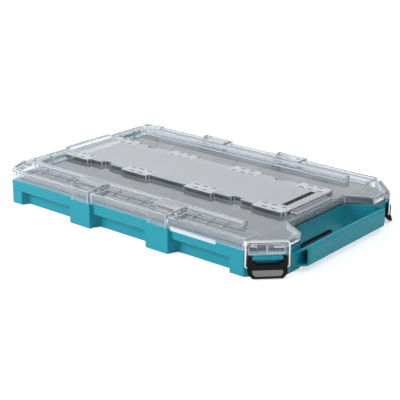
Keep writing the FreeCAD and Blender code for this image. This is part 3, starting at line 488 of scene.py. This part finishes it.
def rounded_copy(node, width, edge_place=0):
    """A piece in a node's place, with its sharp edges rounded over."""
    piece = add_piece(f"{node}_rounded", round_sharp_edges(node, width, edge_place), node)
    shading = piece.modifiers.new("flat_faces_stay_flat", "WEIGHTED_NORMAL")
    shading.mode = "FACE_AREA"
    shading.weight = FLAT_FACE_WEIGHT
    shading.keep_sharp = True
    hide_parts(node)
    return piece


def lid_finish(face):
    """The place of the finish for one of the lid's faces, by where it lies and which way it looks:
    painted highlight on lips, outer block tops and edges not looking down, painted shade on the
    panel's walls.
    """
    x, y, z = face.center / MM
    width = abs(y)
    # The lip below the skirt takes the painted highlight
    if width > BODY_HALF + LEVEL_MATCH and z < LIP_TOP and LIP_LEFT < x < LIP_RIGHT:
        return PAINTED_HIGHLIGHT_PLACE
    if is_panel_top(face.normal, face.center):
        along_block = any(abs(x - PANEL_MIDDLE - offset) < BLOCK_HALF for offset in BLOCK_OFFSETS)
        # The outer block tops take the painted highlight
        return PAINTED_HIGHLIGHT_PLACE if along_block and width > BLOCK_INNER else HAZY_PLACE
    # The panel's upright walls, and the rounded edges at its foot, take the painted shade
    if face.material_index == PAINTED_HIGHLIGHT_PLACE:
        is_painted_shade = abs(z - LID_DECK) < FOOT_REACH and width < PANEL_HALF + FOOT_REACH
    else:
        upright = abs(face.normal.z) < UPRIGHT_SHARE
        is_painted_shade = upright and LID_DECK < z < PANEL_TOP and width < PANEL_HALF + LEVEL_MATCH
    if is_painted_shade:
        return PAINTED_SHADE_PLACE
    # Faces looking down stay clear; the other rounded edges keep the painted highlight
    return CLEAR_PLACE if face.normal.z < DOWNWARD_SHARE else face.material_index


def finish_lid(piece):
    """Painted highlights on edges, lips and block tops, a hazy panel top, and painted shade on the
    panel walls.
    """
    for material in LID_FINISHES:
        piece.data.materials.append(material)
    for face in piece.data.polygons:
        face.material_index = lid_finish(face)


def barrel_outline():
    """Pairs of outward and upward places: a round nose in front and square corners at the back."""
    turns = [math.pi * step / BARREL_POINTS - math.pi / 2 for step in range(BARREL_POINTS + 1)]
    nose = [Vector((math.cos(turn), math.sin(turn))) * BARREL_RADIUS for turn in turns]
    return nose + [Vector((-BARREL_BACK, BARREL_RADIUS)), Vector((-BARREL_BACK, -BARREL_RADIUS))]


def latch_barrel(side):
    """The bored barrel between a latch's lugs, which hides the middle of the lever's pin."""
    joint = joint_named(f"lever_{side}_hinge")
    middle = Vector(joint["pos_m"])
    along = Vector(joint["axis"])
    outward = along.cross(UP)
    if outward.dot(middle) < 0:
        outward.negate()
    work = bmesh.new()
    rims = []
    for end in (-1, 1):
        start = middle + along * BARREL_HALF * end
        outer = []
        inner = []
        for place in barrel_outline():
            bore = place.normalized() * BARREL_BORE
            outer.append(work.verts.new(start + outward * place.x + UP * place.y))
            inner.append(work.verts.new(start + outward * bore.x + UP * bore.y))
        rims += [outer, inner]
    near_outer, near_inner, far_outer, far_inner = rims
    walls = (
        (near_outer, far_outer),
        (near_inner, far_inner),
        (near_outer, near_inner),
        (far_outer, far_inner),
    )
    for first, second in walls:
        for step, corner in enumerate(first):
            work.faces.new((corner, first[step - 1], second[step - 1], second[step]))
    bmesh.ops.recalc_face_normals(work, faces=work.faces)
    add_piece(f"latch_barrel_{side}", work, "base_tray")


def add_ring(work, middle, outward, radius):
    """A ring of points round a wire, in the plane of one direction and the coil's axis."""
    ring = []
    for step in range(WIRE_POINTS):
        turn = math.tau * step / WIRE_POINTS
        direction = outward * math.cos(turn) + COIL_AXIS * math.sin(turn)
        ring.append(work.verts.new(middle + direction * radius))
    return ring


def add_coil(work, low, high):
    """A coil spring that fills a box, wound along its length and closed at both ends."""
    wire = (high.z - low.z) * WIRE_SHARE / 2
    reach = (high.z - low.z) / 2 - wire
    centre = (low + high) / 2
    steps = COIL_TURNS * COIL_POINTS
    pitch = (high.x - low.x - wire * 2) / steps
    rings = []
    for step in range(steps + 1):
        turn = math.tau * step / COIL_POINTS
        outward = Vector((0, math.cos(turn), math.sin(turn)))
        middle = Vector((low.x + wire + pitch * step, centre.y, centre.z)) + outward * reach
        rings.append(add_ring(work, middle, outward, wire))
    for first, second in zip(rings, rings[1:]):
        for step in range(WIRE_POINTS):
            after = (step + 1) % WIRE_POINTS
            work.faces.new((first[step], first[after], second[after], second[step]))
    work.faces.new(rings[0])
    work.faces.new(reversed(rings[-1]))


def coil_springs():
    """The stack lock's two return springs, wound as coils of one fixed length; the real springs
    shorten as the slider goes in.
    """
    node = "stack_lock_springs"
    low, high = (Vector(corner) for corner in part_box(node))
    across = high.z - low.z
    work = bmesh.new()
    add_coil(work, low, Vector((high.x, low.y + across, high.z)))
    add_coil(work, Vector((low.x, high.y - across, low.z)), high)
    bmesh.ops.recalc_face_normals(work, faces=work.faces)
    piece = add_piece("stack_lock_coils", work, node)
    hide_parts(node)
    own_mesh(piece)


def add_camera():
    """A camera where the fit to the photograph puts it."""
    azimuth = math.radians(CAMERA_AZIMUTH)
    elevation = math.radians(CAMERA_ELEVATION)
    roll = math.radians(CAMERA_ROLL)
    level = math.cos(elevation)
    back = Vector((math.sin(azimuth) * level, -math.cos(azimuth) * level, math.sin(elevation)))
    right = Vector((math.cos(azimuth), math.sin(azimuth), 0))
    up = back.cross(right)
    eye = right * AIM_RIGHT + up * AIM_UP + back * CAMERA_DISTANCE
    rolled_right = right * math.cos(roll) + up * math.sin(roll)
    rolled_up = up * math.cos(roll) - right * math.sin(roll)
    camera_data = bpy.data.cameras.new("photo_camera")
    camera_data.sensor_width = SENSOR_MM
    camera_data.lens = FOCAL_PIXELS / IMAGE_PIXELS * SENSOR_MM
    camera = bpy.data.objects.new("photo_camera", camera_data)
    turn = Matrix((rolled_right, rolled_up, back)).transposed().to_4x4()
    camera.matrix_world = Matrix.Translation(eye) @ turn
    bpy.context.scene.collection.objects.link(camera)
    bpy.context.scene.camera = camera


def seen_strength(node_tree, unseen, seen):
    """One strength for what the camera and shiny or clear surfaces see, and another for other rays."""
    path = node_tree.nodes.new("ShaderNodeLightPath")
    sight = path.outputs["Is Camera Ray"]
    for name in ("Is Glossy Ray", "Is Transmission Ray"):
        either = node_tree.nodes.new("ShaderNodeMath")
        either.operation = "MAXIMUM"
        node_tree.links.new(sight, either.inputs[0])
        node_tree.links.new(path.outputs[name], either.inputs[1])
        sight = either.outputs["Value"]
    strength = node_tree.nodes.new("ShaderNodeMapRange")
    strength.inputs["To Min"].default_value = unseen
    strength.inputs["To Max"].default_value = seen
    node_tree.links.new(sight, strength.inputs["Value"])
    return strength.outputs["Result"]


def add_world():
    """Even studio light, and a white surround for what the camera and clear or shiny surfaces see."""
    world = bpy.data.worlds.new("studio")
    world.use_nodes = True
    bpy.context.scene.world = world
    tree = world.node_tree
    background = tree.nodes["Background"]
    background.inputs["Color"].default_value = WHITE
    strength = seen_strength(tree, SURROUND_LIGHT, SURROUND_SEEN)
    tree.links.new(strength, background.inputs["Strength"])


def add_floor():
    """Pale floor that keeps the object's shadow and meets the white surround."""
    mesh = bpy.data.meshes.new("floor")
    corners = ((-1, -1), (1, -1), (1, 1), (-1, 1))
    places = [(x * FLOOR_REACH, y * FLOOR_REACH, 0) for x, y in corners]
    mesh.from_pydata(places, [], [tuple(range(len(places)))])
    floor = bpy.data.objects.new("floor", mesh)
    bpy.context.scene.collection.objects.link(floor)
    tree = Tree("floor")
    tree.set(Roughness=FLOOR_ROUGHNESS)
    tree.tint(tree.noise(**FLOOR_GRAIN), PALE, FLOOR_SHARES)
    glow = tree.nodes.new("ShaderNodeEmission")
    tree.link(seen_strength(tree.material.node_tree, 0, FLOOR_GLOW), glow.inputs["Strength"])
    both = tree.nodes.new("ShaderNodeAddShader")
    tree.link(tree.shader.outputs["BSDF"], both.inputs[0])
    tree.link(glow.outputs["Emission"], both.inputs[1])
    tree.link(both.outputs["Shader"], tree.nodes["Material Output"].inputs["Surface"])
    mesh.materials.append(tree.material)


def add_softbox(name, place, size, power):
    """A square lamp that lights the object, but doesn't show in shiny or clear surfaces."""
    data = bpy.data.lights.new(name, "AREA")
    data.shape = "SQUARE"
    data.size = size
    data.energy = power
    lamp = bpy.data.objects.new(name, data)
    lamp.location = place
    lamp.visible_glossy = False
    lamp.visible_transmission = False
    direction = Vector(LAMP_AIM) - Vector(place)
    lamp.rotation_euler = direction.to_track_quat("-Z", "Y").to_euler()
    bpy.context.scene.collection.objects.link(lamp)


bpy.context.scene.view_settings.view_transform = "Standard"
dress_nodes()
rounded_copy("base_tray", BASE_ROUNDING)
# The lid's rounded edges take the painted highlight
lid = rounded_copy("lid", LID_ROUNDING, PAINTED_HIGHLIGHT_PLACE)
finish_lid(lid)
# Light falls through the clear lid
lid.visible_shadow = False
lid.visible_diffuse = False
for side in SIDES:
    rounded_copy(f"latch_lever_{side}", LEVER_ROUNDING)
    rounded_copy(f"latch_pad_{side}", PAD_ROUNDING)
    latch_barrel(side)
for node in LOCK_NODES:
    rounded_copy(node, LOCK_ROUNDING)
for node in BIN_NODES:
    rounded_copy(node, BIN_ROUNDING)
coil_springs()
add_camera()
add_world()
add_floor()
add_softbox("key", **KEY_LAMP)
add_softbox("fill", **FILL_LAMP)
